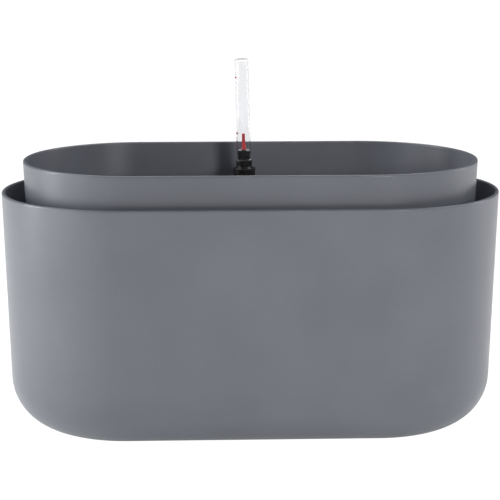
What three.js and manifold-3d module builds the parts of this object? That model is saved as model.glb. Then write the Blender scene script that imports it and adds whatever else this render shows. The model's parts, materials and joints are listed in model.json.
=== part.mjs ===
// Self-watering planter: an oblong outer pot that holds the water, a growing pot (the liner) that stands in
// it on two slotted wick wells, a float gauge that shows the water level, and a drain plug in the floor.
// Millimetres, +Z up, +X along the planter and +Y towards its back. The origin is on the surface that the
// planter stands on, under the middle of the outer pot.

import * as THREE from 'three';
import { mergeVertices } from 'three/addons/utils/BufferGeometryUtils.js';
import Module from 'manifold-3d';

// ---------------------------------------------------------------- driving dimensions

const GAP = 0.3; // left between two pieces that touch, so that their faceted solids stay apart

// Both pots are oblong: two half rounds joined by a straight stretch. `half` is half of that stretch,
// `radius` the outside radius of the half rounds at the rim, `draft` the lean of the walls in degrees, and
// `fillet` the outside radius where the walls turn into the floor.
const OUTER = { half: 100, radius: 100, base: 0, top: 193, draft: 1.7, fillet: 42, wall: 3 };
const LINER = { half: 90.5, radius: 92, base: 57.5, top: 218, draft: 2.4, fillet: 22, wall: 2.8 };

const FOOT = { outer: 47.5, inner: 44.5, rise: 1.5 }; // the middle of the outer pot's floor is raised

// The wick wells: a tapered cup, its flange under the liner's floor, and a neck with a bead that clips in.
const WELL = { x: 92, bottom: 24, side: 27, chamfer: 3, shoulder: 31, neck: 32, flange: 36, flangeThick: 2 };
const WELL_WALL = 1.9;
const WELL_BEAD = { radius: 33.4, height: 1.7 };
const WELL_SLOTS = { count: 10, width: 2.6, low: 12, high: 47 };
const WELL_HOLES = { count: 5, circle: 13, radius: 2.5 };

const DRAIN_HOLES = { radius: 3, xs: [-36, -12, 12, 36], ys: [-45, -15, 15], endX: 141, endY: 20 };

const PLUG = { hole: 8.3, stem: 8, flange: 13, flangeThick: 2.2, waist: 4.2, knob: 5, top: 17, edge: 0.8 };
const SEAL = { inner: 8.5, outer: 12.5, thick: 1.5 };

// The gauge leans a little in its loose socket. Its own frame has its origin where its axis meets the
// liner's floor, and its heights are measured along that axis.
const GAUGE = { y: 50, lean: 1.45 };
const SOCKET = { bore: 10.2, sleeve: 12, hole: 12.3, flange: 14, flangeThick: 1.9, below: 3.5, above: 10 };
const HOUSING = { outer: 9.1, bore: 7.8, low: -47, high: 138.6, ring: 11.5, ringLow: 10.7, ringHigh: 13.2 };
const HOUSING_SLOTS = { count: 4, width: 2.6, low: -42, high: -27 };
const STRAINER = { low: -50, plug: 7.5, plugHigh: -43.5, hole: 3.2, wall: 1.4, edge: 0.8 };
const COLLAR = { flange: 9.3, flangeLow: 138.9, flangeHigh: 142, ring: 6.6, ringHigh: 148.1, edge: 0.8 };
const COLLAR_GROOVE = { depth: 0.35, width: 0.5, drop: 2.2 };
const SPIGOT = { radius: 5.1, high: 156.5, bore: 1.7, plug: 7.5, plugLow: 131 };
const SIGHT = { low: 148.4, high: 232, outerLow: 6.15, outerHigh: 5.65, boreLow: 5.4, boreHigh: 4.95 };
const SIGHT_END = { roof: 1.3, round: 1.2, inside: 0.6 };
const ROD = { radius: 1.2, low: -42.2, high: 168, edge: 0.3, step: 1 };
const POINTER = { low: 156.8, high: 170.2, flange: 2.1, flangeThick: 1, foot: 1.65, tip: 1.15, edge: 0.4 };
const POINTER_SOCKET = 0.85;
const FLOAT = { radius: 6.9, low: -41, high: -11, hole: 1.5, edge: 1.5 };
const CLIP = { radius: 3.4, hole: 1.5, thick: 1.2 };

// How finely the round shapes are divided: columns round each one, and steps along the arcs of an outline.
const POT_COLUMNS = 25; // on each half round
const TURNED_COLUMNS = 24;
const WELL_COLUMNS = 30;
const NECK_COLUMNS = 32;
const SLIM_COLUMNS = 16;
const THIN_COLUMNS = 12;
const ARC_STEPS = { fillet: 7, rim: 6, tubeEnd: 3 };
const CUT_PAST = 1; // how far a cutting pin reaches past the faces it goes through

// ---------------------------------------------------------------- materials

const plastic = (color, roughness) => new THREE.MeshStandardMaterial({ color, roughness, metalness: 0 });
const clearPlastic = plastic(0xe8ecf0, 0.08);
clearPlastic.transparent = true;
clearPlastic.opacity = 0.35;
const MATERIALS = {
  slate: plastic(0x74777f, 0.5),
  slateDark: plastic(0x5e6068, 0.6),
  black: plastic(0x18171a, 0.35),
  clear: clearPlastic,
  red: plastic(0xb8232c, 0.4),
  foam: plastic(0xe9e5dc, 0.9),
  pale: plastic(0xdedfdd, 0.4),
  rubber: plastic(0x232224, 0.8),
};

// ---------------------------------------------------------------- helpers

const wasm = await Module();
wasm.setup();

// A closed three.js geometry as a manifold-3d solid. Only its positions are kept.
function solidFrom(geometry) {
  const bare = geometry.clone();
  bare.deleteAttribute('normal');
  bare.deleteAttribute('uv');
  const merged = mergeVertices(bare, 1e-3);
  const vertProperties = merged.attributes.position.array;
  const triVerts = new Uint32Array(merged.index.array);
  return new wasm.Manifold(new wasm.Mesh({ numProp: 3, vertProperties, triVerts }));
}

function geometryFrom(solid) {
  const made = solid.getMesh();
  const geometry = new THREE.BufferGeometry();
  geometry.setAttribute('position', new THREE.BufferAttribute(made.vertProperties, 3));
  geometry.setIndex(new THREE.BufferAttribute(made.triVerts, 1));
  geometry.computeVertexNormals();
  return geometry;
}

// What is left of a geometry when each of the cutters is taken out of it.
function cut(geometry, cutters) {
  const left = cutters.reduce((solid, cutter) => solid.subtract(solidFrom(cutter)), solidFrom(geometry));
  return geometryFrom(left);
}

// Points [radius, height] turned about +Z.
function turned(points, columns = TURNED_COLUMNS) {
  const profile = points.map(([r, z]) => new THREE.Vector2(r, z));
  return new THREE.LatheGeometry(profile, columns).rotateX(Math.PI / 2);
}

// The same, but as two half rounds, the one on the +X side moved by `half` and the other by -half.
function turnedOblong(points, half) {
  const profile = points.map(([r, z]) => new THREE.Vector2(r, z));
  const geometry = new THREE.LatheGeometry(profile, 2 * POT_COLUMNS);
  const position = geometry.getAttribute('position');
  for (let i = 0; i < position.count; i++) {
    const column = Math.floor(i / profile.length) % (2 * POT_COLUMNS);
    const side = column < POT_COLUMNS ? 1 : -1;
    const angle = (Math.PI * (column % POT_COLUMNS)) / (POT_COLUMNS - 1);
    const radius = profile[i % profile.length].x;
    position.setX(i, side * (half + radius * Math.sin(angle)));
    position.setZ(i, side * radius * Math.cos(angle));
  }
  return geometry.rotateX(Math.PI / 2);
}

// Points on an arc round [r, z], from one angle to another, in degrees from the +r axis.
function arc(r, z, radius, from, to, steps) {
  return Array.from({ length: steps + 1 }, (_, i) => {
    const angle = THREE.MathUtils.degToRad(from + ((to - from) * i) / steps);
    return [r + radius * Math.cos(angle), z + radius * Math.sin(angle)];
  });
}

// A pin along +Z, for cutting a round hole.
function pin(x, y, radius, low, high, columns = THIN_COLUMNS) {
  return new THREE.CylinderGeometry(radius, radius, high - low, columns)
    .rotateX(Math.PI / 2)
    .translate(x, y, (low + high) / 2);
}

// Boxes that stand round the Z axis like spokes, for cutting slots through a wall.
function spokes({ count, width, low, high }, reach, x = 0) {
  return Array.from({ length: count }, (_, i) =>
    new THREE.BoxGeometry(reach, width, high - low)
      .translate(reach / 2, 0, (low + high) / 2)
      .rotateZ(((i + 0.5) * 2 * Math.PI) / count)
      .translate(x, 0, 0),
  );
}

function piece(name, geometry, material) {
  const mesh = new THREE.Mesh(geometry, material);
  mesh.name = name;
  return mesh;
}

// ---------------------------------------------------------------- the two pots

// The wall of a pot as [radius, height] points, from the outer edge of its floor over the rim to the floor
// inside. The rim is a full round, and the two fillets share a centre, so the wall keeps its thickness.
function wallProfile({ radius, base, top, draft, fillet, wall }) {
  const lean = THREE.MathUtils.degToRad(draft);
  const centreZ = base + fillet;
  const centreR = radius - (top - centreZ) * Math.tan(lean) - fillet / Math.cos(lean);
  const rimR = radius - (wall / 2) * (Math.tan(lean) + 1 / Math.cos(lean));
  return [
    ...arc(centreR, centreZ, fillet, -90, -draft, ARC_STEPS.fillet),
    ...arc(rimR, top - wall / 2, wall / 2, -draft, 180 - draft, ARC_STEPS.rim),
    ...arc(centreR, centreZ, fillet - wall, -draft, -90, ARC_STEPS.fillet),
  ];
}

function outerPot() {
  const floor = OUTER.wall + FOOT.rise;
  const profile = [
    [0, FOOT.rise],
    [FOOT.inner, FOOT.rise],
    [FOOT.outer, 0],
    ...wallProfile(OUTER),
    [FOOT.outer, OUTER.wall],
    [FOOT.inner, floor],
    [0, floor],
  ];
  const drain = pin(0, 0, PLUG.hole, -CUT_PAST, floor + CUT_PAST, TURNED_COLUMNS);
  return piece('outer_pot', cut(turnedOblong(profile, OUTER.half), [drain]), MATERIALS.slate);
}

function liner() {
  const floor = LINER.base + LINER.wall;
  const profile = [[0, LINER.base], ...wallProfile(LINER), [0, floor]];
  const hole = (x, y, radius, columns) =>
    pin(x, y, radius, LINER.base - CUT_PAST, floor + CUT_PAST, columns);
  const holes = [hole(0, GAUGE.y, SOCKET.hole, TURNED_COLUMNS)];
  for (const side of [-1, 1]) {
    holes.push(hole(side * WELL.x, 0, WELL.neck + GAP, NECK_COLUMNS));
    holes.push(hole(side * DRAIN_HOLES.endX, DRAIN_HOLES.endY, DRAIN_HOLES.radius));
    holes.push(hole(side * DRAIN_HOLES.endX, -DRAIN_HOLES.endY, DRAIN_HOLES.radius));
  }
  for (const x of DRAIN_HOLES.xs) {
    holes.push(...DRAIN_HOLES.ys.map((y) => hole(x, y, DRAIN_HOLES.radius)));
  }
  return piece('liner', cut(turnedOblong(profile, LINER.half), holes), MATERIALS.slate);
}

// ---------------------------------------------------------------- what is clipped into the liner's floor

// A slotted cup that the soil fills: it stands on the outer pot's floor, its flange carries the liner, and
// its neck clips through the hole in the liner's floor.
function wickWell(name, x) {
  const { bottom, side, chamfer, shoulder, neck, flange, flangeThick } = WELL;
  const stand = OUTER.wall + FOOT.rise + GAP;
  const flangeHigh = LINER.base - GAP;
  const flangeLow = flangeHigh - flangeThick;
  const clipLow = LINER.base + LINER.wall + GAP;
  const clipHigh = clipLow + WELL_BEAD.height;
  const profile = [
    [0, stand],
    [bottom, stand],
    [side, stand + chamfer],
    [shoulder, flangeLow],
    [flange, flangeLow],
    [flange, flangeHigh],
    [neck, flangeHigh],
    [neck, clipLow],
    [WELL_BEAD.radius, clipLow],
    [neck, clipHigh],
    [neck - WELL_WALL, clipHigh],
    [neck - WELL_WALL, flangeHigh],
    [shoulder - WELL_WALL, flangeLow],
    [side - WELL_WALL, stand + chamfer + WELL_WALL],
    [bottom - WELL_WALL, stand + WELL_WALL],
    [0, stand + WELL_WALL],
  ];
  const cup = turned(profile, WELL_COLUMNS).translate(x, 0, 0);
  const holes = Array.from({ length: WELL_HOLES.count }, (_, i) => {
    const angle = (i * 2 * Math.PI) / WELL_HOLES.count;
    const holeX = x + WELL_HOLES.circle * Math.cos(angle);
    const holeY = WELL_HOLES.circle * Math.sin(angle);
    return pin(holeX, holeY, WELL_HOLES.radius, stand - CUT_PAST, stand + WELL_WALL + CUT_PAST);
  });
  return piece(name, cut(cup, [...spokes(WELL_SLOTS, flange, x), ...holes]), MATERIALS.slateDark);
}

// The bush in the liner's floor that the gauge stands in.
function gaugeSocket() {
  const { bore, sleeve, flange, flangeThick, below, above } = SOCKET;
  const floor = LINER.base + LINER.wall;
  const profile = [
    [bore, LINER.base - below],
    [sleeve, LINER.base - below],
    [sleeve, floor + GAP],
    [flange, floor + GAP],
    [flange, floor + GAP + flangeThick],
    [sleeve, floor + GAP + flangeThick],
    [sleeve, floor + above],
    [bore, floor + above],
    [bore, LINER.base - below],
  ];
  return piece('gauge_socket', turned(profile).translate(0, GAUGE.y, 0), MATERIALS.rubber);
}

// ---------------------------------------------------------------- the float gauge, in its leaning frame

function gaugeHousing() {
  const { outer, bore, low, high, ring, ringLow, ringHigh } = HOUSING;
  const profile = [
    [bore, low],
    [outer, low],
    [outer, ringLow],
    [ring, ringLow],
    [ring, ringHigh],
    [outer, ringHigh],
    [outer, high],
    [bore, high],
    [bore, low],
  ];
  return piece('gauge_housing', cut(turned(profile), spokes(HOUSING_SLOTS, ring)), MATERIALS.black);
}

// The cap that closes the housing's lower end: it lets the water in and keeps the float from dropping out.
function gaugeFootCap() {
  const { low, plug, plugHigh, hole, wall, edge } = STRAINER;
  const flangeHigh = HOUSING.low - GAP;
  const profile = [
    [hole, low],
    [HOUSING.outer - edge, low],
    [HOUSING.outer, low + edge],
    [HOUSING.outer, flangeHigh],
    [plug, flangeHigh],
    [plug, plugHigh],
    [plug - wall, plugHigh],
    [plug - wall, low + wall],
    [hole, low + wall],
    [hole, low],
  ];
  return piece('gauge_foot_cap', turned(profile), MATERIALS.black);
}

// The stepped top of the gauge: a plug in the housing, a grooved flange, a ring and the tube's spigot.
function gaugeCollar() {
  const { flange, flangeLow, flangeHigh, ring, ringHigh, edge } = COLLAR;
  const { depth, width, drop } = COLLAR_GROOVE;
  const grooveLow = flangeHigh - drop;
  const profile = [
    [SPIGOT.bore, SPIGOT.plugLow],
    [SPIGOT.plug, SPIGOT.plugLow],
    [SPIGOT.plug, flangeLow],
    [flange, flangeLow],
    [flange, grooveLow],
    [flange - depth, grooveLow + width / 2],
    [flange, grooveLow + width],
    [flange, flangeHigh - edge],
    [flange - edge, flangeHigh],
    [ring, flangeHigh],
    [ring, ringHigh],
    [SPIGOT.radius, ringHigh],
    [SPIGOT.radius, SPIGOT.high - edge],
    [SPIGOT.radius - edge, SPIGOT.high],
    [SPIGOT.bore, SPIGOT.high],
    [SPIGOT.bore, SPIGOT.plugLow],
  ];
  return piece('gauge_collar', turned(profile), MATERIALS.black);
}

// The clear tube, open below and closed on top, which pushes onto the collar's spigot.
function sightTube() {
  const { low, high, outerLow, outerHigh, boreLow, boreHigh } = SIGHT;
  const { roof, round, inside } = SIGHT_END;
  const profile = [
    [boreLow, low],
    [outerLow, low],
    ...arc(outerHigh - round, high - round, round, 0, 90, ARC_STEPS.tubeEnd),
    [0, high],
    [0, high - roof],
    [boreHigh - inside, high - roof],
    [boreHigh, high - roof - inside],
    [boreLow, low],
  ];
  return piece('sight_tube', turned(profile), MATERIALS.clear);
}

// The rod is thinner where the pointer sits over it.
function floatRod() {
  const { radius, low, high, edge, step } = ROD;
  const neck = POINTER_SOCKET - GAP;
  const profile = [
    [0, low],
    [radius - edge, low],
    [radius, low + edge],
    [radius, POINTER.low - 2 * step],
    [neck, POINTER.low - step],
    [neck, high],
    [0, high],
  ];
  return piece('float_rod', turned(profile, THIN_COLUMNS), MATERIALS.pale);
}

// The red tip that rises in the sight tube. Its flange rests on the spigot when the reservoir is empty.
function pointer() {
  const { low, high, flange, flangeThick, foot, tip, edge } = POINTER;
  const profile = [
    [POINTER_SOCKET, low],
    [flange, low],
    [flange, low + flangeThick],
    [foot, low + flangeThick],
    [tip, high - edge],
    [tip - edge, high],
    [0, high],
    [0, ROD.high + GAP],
    [POINTER_SOCKET, ROD.high + GAP],
    [POINTER_SOCKET, low],
  ];
  return piece('pointer', turned(profile, SLIM_COLUMNS), MATERIALS.red);
}

function floatBody() {
  const { radius, low, high, hole, edge } = FLOAT;
  const profile = [
    [hole, low],
    [radius - edge, low],
    [radius, low + edge],
    [radius, high - edge],
    [radius - edge, high],
    [hole, high],
    [hole, low],
  ];
  return piece('float', turned(profile), MATERIALS.foam);
}

// A ring on the rod over the float, which keeps the float at the rod's lower end.
function floatClip() {
  const { radius, hole, thick } = CLIP;
  const low = FLOAT.high + GAP;
  const profile = [
    [hole, low],
    [radius, low],
    [radius, low + thick],
    [hole, low + thick],
    [hole, low],
  ];
  return piece('float_clip', turned(profile, SLIM_COLUMNS), MATERIALS.black);
}

function gauge() {
  const group = new THREE.Group();
  group.add(gaugeHousing(), gaugeFootCap(), gaugeCollar(), sightTube());
  group.add(floatRod(), pointer(), floatBody(), floatClip());
  group.position.set(0, GAUGE.y, LINER.base + LINER.wall);
  group.rotation.y = THREE.MathUtils.degToRad(-GAUGE.lean);
  return group;
}

// ---------------------------------------------------------------- the drain plug

function drainPlug() {
  const { stem, flange, flangeThick, waist, knob, top, edge } = PLUG;
  const stemLow = FOOT.rise + GAP;
  const flangeLow = OUTER.wall + FOOT.rise + SEAL.thick + 2 * GAP;
  const flangeHigh = flangeLow + flangeThick;
  const profile = [
    [0, stemLow],
    [stem - edge, stemLow],
    [stem, stemLow + edge],
    [stem, flangeLow],
    [flange, flangeLow],
    [flange, flangeHigh - edge],
    [flange - edge, flangeHigh],
    [waist, flangeHigh],
    [knob, top - 2 * edge],
    [knob - edge, top],
    [0, top],
  ];
  return piece('drain_plug', turned(profile), MATERIALS.rubber);
}

function plugSeal() {
  const low = OUTER.wall + FOOT.rise + GAP;
  const profile = [
    [SEAL.inner, low],
    [SEAL.outer, low],
    [SEAL.outer, low + SEAL.thick],
    [SEAL.inner, low + SEAL.thick],
    [SEAL.inner, low],
  ];
  return piece('plug_seal', turned(profile), MATERIALS.rubber);
}

// ---------------------------------------------------------------- the planter

const planter = new THREE.Group();
planter.add(outerPot(), drainPlug(), plugSeal());
planter.add(liner(), wickWell('wick_well_left', -WELL.x), wickWell('wick_well_right', WELL.x));
planter.add(gaugeSocket(), gauge());

export default planter;
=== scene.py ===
# %% [markdown]
# # A self-watering planter
#
# The real thing is an assembly of moulded plastic: an oblong outer pot that holds water, a growing pot that
# stands in it on two slotted wells, and a float gauge whose red tip rises in a clear tube. The CAD frame
# already holds every size, place and motion. This lesson makes the fine surfaces around that frame, piece by
# piece, and gives each one a finish. Lengths are written in millimetres and turned into metres by `MM`.

# %% Load the frame
import json
import math

import bmesh
import bpy
from mathutils import Matrix, Vector


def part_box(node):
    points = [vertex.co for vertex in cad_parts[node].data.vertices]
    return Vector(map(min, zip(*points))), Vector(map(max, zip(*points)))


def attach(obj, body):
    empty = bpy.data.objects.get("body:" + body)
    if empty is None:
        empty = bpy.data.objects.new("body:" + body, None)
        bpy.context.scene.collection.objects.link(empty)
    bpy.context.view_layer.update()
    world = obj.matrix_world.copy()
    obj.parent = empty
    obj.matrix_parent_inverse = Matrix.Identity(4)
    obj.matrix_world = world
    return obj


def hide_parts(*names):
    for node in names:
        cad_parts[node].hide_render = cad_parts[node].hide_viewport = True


MM = 0.001
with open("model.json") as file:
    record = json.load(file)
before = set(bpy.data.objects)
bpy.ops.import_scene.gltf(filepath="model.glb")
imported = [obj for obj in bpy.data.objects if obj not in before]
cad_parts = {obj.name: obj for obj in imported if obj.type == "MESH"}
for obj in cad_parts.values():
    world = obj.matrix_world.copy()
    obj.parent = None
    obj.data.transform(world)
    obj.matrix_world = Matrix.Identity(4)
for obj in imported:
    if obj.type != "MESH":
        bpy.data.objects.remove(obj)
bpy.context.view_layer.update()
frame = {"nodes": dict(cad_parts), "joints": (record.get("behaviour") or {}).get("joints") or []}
print("nodes in the frame:", len(frame["nodes"]))

# %% [markdown]
# ## The camera
#
# The camera comes first, because every later decision is judged through it. It stands well back with a long
# lens, a little above the rim and a little to the left, so both rims read as flat ovals. It could be placed
# by hand, but an orbit (a turn, a height angle and a distance round a point) is easier to reason about.

# %% Camera
CAMERA_TURN = math.radians(-2.19)
CAMERA_RISE = math.radians(11.67)
CAMERA_DISTANCE = 1460.7 * MM
CAMERA_AIM = Vector((-0.7, 0.0, 141.9)) * MM
CAMERA_LENS = 129.33

camera = bpy.data.objects.new("camera", bpy.data.cameras.new("camera"))
bpy.context.scene.collection.objects.link(camera)
toward_camera = Vector((
    math.sin(CAMERA_TURN) * math.cos(CAMERA_RISE),
    -math.cos(CAMERA_TURN) * math.cos(CAMERA_RISE),
    math.sin(CAMERA_RISE),
))
camera.location = CAMERA_AIM + toward_camera * CAMERA_DISTANCE
camera.rotation_euler = (-toward_camera).to_track_quat("-Z", "Y").to_euler()
camera.data.lens = CAMERA_LENS
bpy.context.scene.camera = camera
print("camera at", [round(x, 3) for x in camera.location])

# %% [markdown]
# ## Small helpers for node trees
#
# Both kinds of tree in this lesson, Geometry Nodes and shader nodes, are made by the same two moves: add a
# node and give its sockets either a value or a link. One helper does that, and a second one shortens
# arithmetic.


# %% Helpers for node trees
def add_node(tree, kind, values=None, **settings):
    """Adds a node. `values` maps a socket's name or number to a value or to the socket that feeds it."""
    node = tree.nodes.new(kind)
    for key, setting in settings.items():
        setattr(node, key, setting)
    for key, value in (values or {}).items():
        if isinstance(value, bpy.types.NodeSocket):
            tree.links.new(value, node.inputs[key])
        else:
            node.inputs[key].default_value = value
    return node


def math_node(tree, operation, first, second=0.0, third=0.0):
    values = {0: first, 1: second, 2: third}
    return add_node(tree, "ShaderNodeMath", values, operation=operation).outputs[0]


# %% [markdown]
# ## Geometry Nodes: setting up a tree and settling its result
#
# A modifier shows its tree's inputs under identifiers, not under their names, so a helper looks each one up.
# When the shape is done, `settle` turns what the modifier shows into a plain mesh and removes the modifier,
# because a finished piece must not depend on anything live.


# %% Helpers for Geometry Nodes
SOCKET_KINDS = {"float": "NodeSocketFloat", "int": "NodeSocketInt", "material": "NodeSocketMaterial"}


def new_geometry_tree(name, inputs):
    """A tree with a Geometry input and output, plus named inputs. Returns it with its input sockets."""
    tree = bpy.data.node_groups.new(name, "GeometryNodeTree")
    tree.interface.new_socket("Geometry", in_out="INPUT", socket_type="NodeSocketGeometry")
    for label, kind in inputs.items():
        tree.interface.new_socket(label, in_out="INPUT", socket_type=SOCKET_KINDS[kind])
    tree.interface.new_socket("Geometry", in_out="OUTPUT", socket_type="NodeSocketGeometry")
    return tree, tree.nodes.new("NodeGroupInput").outputs


def close_geometry_tree(tree, geometry, material):
    """Ends a tree in Realize Instances and Set Material."""
    real = add_node(tree, "GeometryNodeRealizeInstances", {"Geometry": geometry})
    painted = add_node(tree, "GeometryNodeSetMaterial", {"Geometry": real.outputs[0], "Material": material})
    add_node(tree, "NodeGroupOutput", {0: painted.outputs[0]})


def grow(piece, tree, values):
    """Runs a tree on a piece with these named inputs, and keeps the result as the piece's plain mesh."""
    modifier = piece.modifiers.new(tree.name, "NODES")
    modifier.node_group = tree
    identifiers = {item.name: item.identifier for item in tree.interface.items_tree}
    for label, value in values.items():
        modifier[identifiers[label]] = value
    return settle(piece)


def settle(piece):
    """Turns what the modifiers show into the piece's own mesh."""
    bpy.context.view_layer.update()
    graph = bpy.context.evaluated_depsgraph_get()
    shown = bpy.data.meshes.new_from_object(piece.evaluated_get(graph))
    piece.modifiers.clear()
    piece.data = shown
    return piece


def new_piece(name, points, edges=(), faces=()):
    mesh = bpy.data.meshes.new(name)
    mesh.from_pydata(points, edges, faces)
    piece = bpy.data.objects.new(name, mesh)
    bpy.context.scene.collection.objects.link(piece)
    return piece


# %% [markdown]
# ## A tree that turns an outline into a shell
#
# Nearly every piece here is a turned shape, and the two pots are turned shapes pulled apart: two half
# rounds with a straight stretch between them. A Screw modifier could turn the round ones, but not the
# oblong ones. So one tree does both. It lays out a grid with a column for each step round the shape and a
# row for each point of the outline, then moves each grid point to its place by a formula. With no half
# length, the shape is round.


# %% Tree: turned shell
def turned_shell_tree():
    inputs = {"Half Length": "float", "Half Columns": "int", "Material": "material"}
    tree, given = new_geometry_tree("turned shell", inputs)
    columns = given["Half Columns"]
    rows = add_node(tree, "GeometryNodeAttributeDomainSize", {0: given["Geometry"]}, component="MESH")
    row_count = rows.outputs["Point Count"]
    total = math_node(tree, "MULTIPLY_ADD", columns, 2.0, 1.0)
    grid = add_node(tree, "GeometryNodeMeshGrid", {"Vertices X": total, "Vertices Y": row_count})

    index = tree.nodes.new("GeometryNodeInputIndex").outputs[0]
    row = math_node(tree, "MODULO", index, row_count)
    lap = math_node(tree, "MULTIPLY", columns, 2.0)
    column = math_node(tree, "FLOOR", math_node(tree, "DIVIDE", index, row_count))
    step = math_node(tree, "MODULO", column, lap)
    on_right = math_node(tree, "LESS_THAN", step, columns)
    side = math_node(tree, "MULTIPLY_ADD", on_right, 2.0, -1.0)
    share = math_node(
        tree, "DIVIDE", math_node(tree, "MODULO", step, columns), math_node(tree, "SUBTRACT", columns, 1.0)
    )
    angle = math_node(tree, "MULTIPLY", share, math.pi)

    position = tree.nodes.new("GeometryNodeInputPosition").outputs[0]
    outline = add_node(
        tree, "GeometryNodeSampleIndex", {0: given["Geometry"], 2: row}, data_type="FLOAT_VECTOR"
    )
    tree.links.new(position, outline.inputs[1])
    point = add_node(tree, "ShaderNodeSeparateXYZ", {0: outline.outputs[0]}).outputs
    reach = math_node(tree, "MULTIPLY", point["X"], math_node(tree, "SINE", angle))
    x = math_node(tree, "MULTIPLY", side, math_node(tree, "ADD", given["Half Length"], reach))
    back = math_node(tree, "MULTIPLY", point["X"], math_node(tree, "COSINE", angle))
    y = math_node(tree, "MULTIPLY", math_node(tree, "MULTIPLY", side, back), -1.0)
    place = add_node(tree, "ShaderNodeCombineXYZ", {"X": x, "Y": y, "Z": point["Z"]})

    moved = add_node(
        tree, "GeometryNodeSetPosition", {"Geometry": grid.outputs["Mesh"], "Position": place.outputs[0]}
    )
    closed = add_node(tree, "GeometryNodeMergeByDistance", {"Geometry": moved.outputs[0], "Distance": 1e-6})
    smooth = add_node(tree, "GeometryNodeSetShadeSmooth", {"Geometry": closed.outputs[0]})
    close_geometry_tree(tree, smooth.outputs[0], given["Material"])
    return tree


TURNED_SHELL = turned_shell_tree()
print("tree made:", TURNED_SHELL.name, "with", len(TURNED_SHELL.nodes), "nodes")

# %% [markdown]
# ## Outlines with soft corners
#
# No moulded edge is sharp. A bevel could be added afterwards, but it is simpler to draw the outline with
# its corners already rounded: each corner is a radius, a height and a rounding. Two extra points close to
# the ends of every long straight stretch keep the shading flat there, as a modeller's holding loops do.


# %% Helpers for outlines
def arc_points(centre, radius, start, end, steps):
    """Points round (radius, height) `centre`, from one angle to another in degrees from the outward side."""
    angles = [math.radians(start + (end - start) * i / steps) for i in range(steps + 1)]
    return [(centre[0] + radius * math.cos(a), centre[1] + radius * math.sin(a)) for a in angles]


def soft_outline(corners, closed=False, steps=4):
    """Corners of (radius, height, rounding) in mm as outline points, each one with its arc."""
    points = []
    for i, (r, z, rounding) in enumerate(corners):
        here = Vector((r, z))
        if rounding == 0:
            points.append((r, z))
            continue
        before = (Vector(corners[i - 1][:2]) - here).normalized()
        after = (Vector(corners[(i + 1) % len(corners)][:2]) - here).normalized()
        half_angle = before.angle(after) / 2
        inward = (before + after).normalized()
        centre = here + inward * rounding / math.sin(half_angle)
        start = here + before * rounding / math.tan(half_angle) - centre
        end = here + after * rounding / math.tan(half_angle) - centre
        for k in range(steps + 1):
            spoke = start.slerp(end, k / steps).normalized() * rounding
            points.append((centre.x + spoke.x, centre.y + spoke.y))
    return points + points[:1] if closed else points


def held(points, margin=0.15):
    """The same outline with a holding point near both ends of each long straight stretch."""
    kept = [points[0]]
    for start, end in zip(points, points[1:]):
        a, b = Vector(start), Vector(end)
        if (b - a).length > 4 * margin:
            along = (b - a).normalized() * margin
            kept += [tuple(a + along), tuple(b - along)]
        kept.append(end)
    return kept


def turn(name, outline, material, half_length=0.0, half_columns=33):
    """A closed turned piece from outline points (radius, height) in mm."""
    points = [(r * MM, 0.0, z * MM) for r, z in outline]
    piece = new_piece(name, points, [(i, i + 1) for i in range(len(points) - 1)])
    values = {"Half Length": half_length * MM, "Half Columns": half_columns, "Material": material}
    return face_out(drop_loose(grow(piece, TURNED_SHELL, values)))


def drop_loose(piece):
    """Removes edges and points that no face uses, such as those left where an outline ran along the axis."""
    work = bmesh.new()
    work.from_mesh(piece.data)
    bmesh.ops.delete(work, geom=[edge for edge in work.edges if not edge.link_faces], context="EDGES")
    bmesh.ops.delete(work, geom=[point for point in work.verts if not point.link_faces], context="VERTS")
    work.to_mesh(piece.data)
    work.free()
    return piece


def volume_of(mesh):
    """The signed volume that a closed mesh holds: negative where its faces point inwards."""
    mesh.calc_loop_triangles()
    corners = [v.co for v in mesh.vertices]
    return sum(
        corners[a].dot(corners[b].cross(corners[c])) / 6
        for a, b, c in (tuple(t.vertices) for t in mesh.loop_triangles)
    )


def face_out(piece):
    if volume_of(piece.data) < 0:
        piece.data.flip_normals()
    return piece


# %% [markdown]
# ## Cutting slots and holes
#
# Slots, drain holes and strainer holes repeat round a ring or over a grid. Each row of cutters comes from
# one Geometry Nodes tree that copies a single cutter onto points and turns each copy outwards. A Boolean
# modifier then takes them away. Drawing the holes into the mesh by hand would be cleaner topology, but far
# slower to change.


# %% Trees: copies round a ring and over a grid
def ring_tree():
    inputs = {"Count": "int", "Start": "float", "Material": "material"}
    tree, given = new_geometry_tree("ring of copies", inputs)
    points = add_node(tree, "GeometryNodePoints", {"Count": given["Count"]})
    index = tree.nodes.new("GeometryNodeInputIndex").outputs[0]
    share = math_node(tree, "DIVIDE", math_node(tree, "ADD", index, given["Start"]), given["Count"])
    turns = math_node(tree, "MULTIPLY", share, 2 * math.pi)
    rotation = add_node(tree, "ShaderNodeCombineXYZ", {"Z": turns})
    copies = add_node(tree, "GeometryNodeInstanceOnPoints", {
        "Points": points.outputs[0], "Instance": given["Geometry"], "Rotation": rotation.outputs[0],
    })
    close_geometry_tree(tree, copies.outputs[0], given["Material"])
    return tree


def grid_tree():
    inputs = {
        "Size X": "float", "Size Y": "float", "Count X": "int", "Count Y": "int", "Material": "material",
    }
    tree, given = new_geometry_tree("grid of copies", inputs)
    grid = add_node(tree, "GeometryNodeMeshGrid", {
        "Size X": given["Size X"], "Size Y": given["Size Y"],
        "Vertices X": given["Count X"], "Vertices Y": given["Count Y"],
    })
    copies = add_node(
        tree, "GeometryNodeInstanceOnPoints", {"Points": grid.outputs["Mesh"], "Instance": given["Geometry"]}
    )
    close_geometry_tree(tree, copies.outputs[0], given["Material"])
    return tree


RING = ring_tree()
GRID = grid_tree()
print("trees made:", RING.name, "and", GRID.name)


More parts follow.
